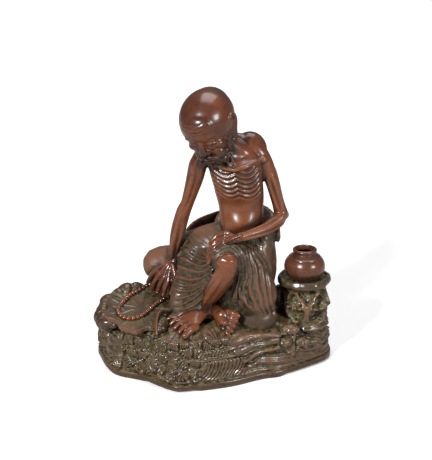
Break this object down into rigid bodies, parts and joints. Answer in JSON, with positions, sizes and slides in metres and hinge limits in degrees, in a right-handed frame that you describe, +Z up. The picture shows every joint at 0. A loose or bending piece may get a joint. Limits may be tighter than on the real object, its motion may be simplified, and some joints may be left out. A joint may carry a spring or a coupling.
{
  "type": "bamboo luohan figure",
  "caption": "Gaunt seated holy man carved in bamboo root, leaning over a draped knee on a craggy rock, with a leaf mat, prayer beads and a small jar on a pierced rock stand.",
  "frame": {"origin": "middle of the underside of the whole carving's bounding box, on the surface it stands on", "axes": "+Z up, +X to the right of someone who faces the figure, +Y away from them, so the figure faces -Y"},
  "size_m": [0.1298, 0.082, 0.1566],
  "materials": {
    "bamboo": "polished and worn, reddish brown, with olive-brown dirt in the recesses"
  },
  "bodies": {
    "root": {"luohan_carving": "bamboo"}
  },
  "joints": []
}
